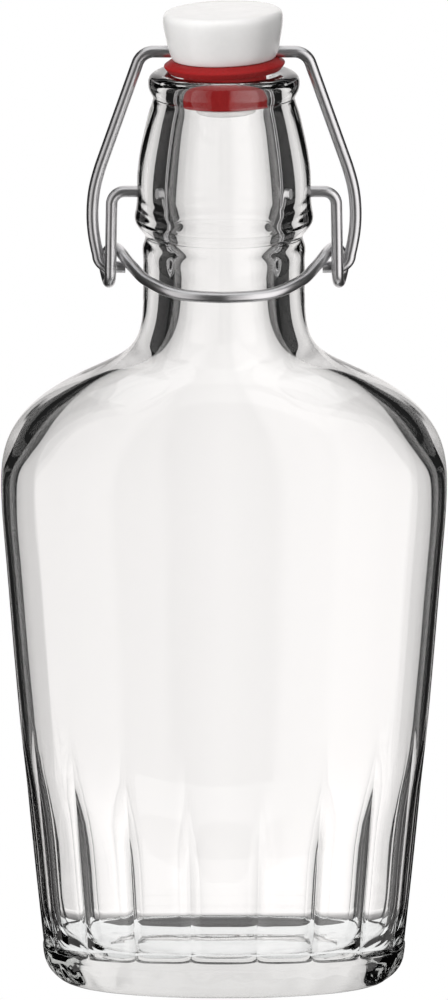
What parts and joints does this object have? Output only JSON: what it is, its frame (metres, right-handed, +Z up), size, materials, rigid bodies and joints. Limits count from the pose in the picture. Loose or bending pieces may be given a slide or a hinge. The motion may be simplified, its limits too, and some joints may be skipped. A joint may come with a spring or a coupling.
{
  "type": "swing-top flask bottle",
  "caption": "Flat oval clear-glass bottle with a fluted foot, closed by a wire-bail swing-top stopper with a rubber gasket.",
  "frame": {"origin": "middle of the base, on the surface that the bottle stands on", "axes": "+Z up along the neck, X across the broad front, the front with the lever's yoke faces -Y"},
  "size_m": [0.0892, 0.044, 0.1997],
  "materials": {
    "glass": "clear, fire-polished",
    "stopper_plastic": "glossy white",
    "gasket_rubber": "satin red",
    "wire": "bright drawn wire"
  },
  "bodies": {
    "bottle": {"glass_bottle": "glass"},
    "lever": {"lever_wire": "wire"},
    "bail": {"bail_wire": "wire"},
    "stopper": {"stopper": "stopper_plastic", "gasket": "gasket_rubber"}
  },
  "joints": [
    {"name": "lever_pivot", "type": "hinge", "parent": "bottle", "child": "lever", "pos_m": [0, 0, 0.1628], "axis": [-1, 0, 0], "range_deg": [0, 95]},
    {"name": "bail_pivot", "type": "hinge", "parent": "lever", "child": "bail", "pos_m": [0, 0, 0.1475], "axis": [-1, 0, 0], "range_deg": [-67, 0]},
    {"name": "stopper_pivot", "type": "hinge", "parent": "bail", "child": "stopper", "pos_m": [0, 0, 0.191], "axis": [-1, 0, 0], "range_deg": [-37.6, 0]}
  ],
  "couplings": [
    {"joint": "bail_pivot", "follows": "lever_pivot", "ratio": -0.705},
    {"joint": "stopper_pivot", "follows": "lever_pivot", "ratio": -0.395}
  ]
}
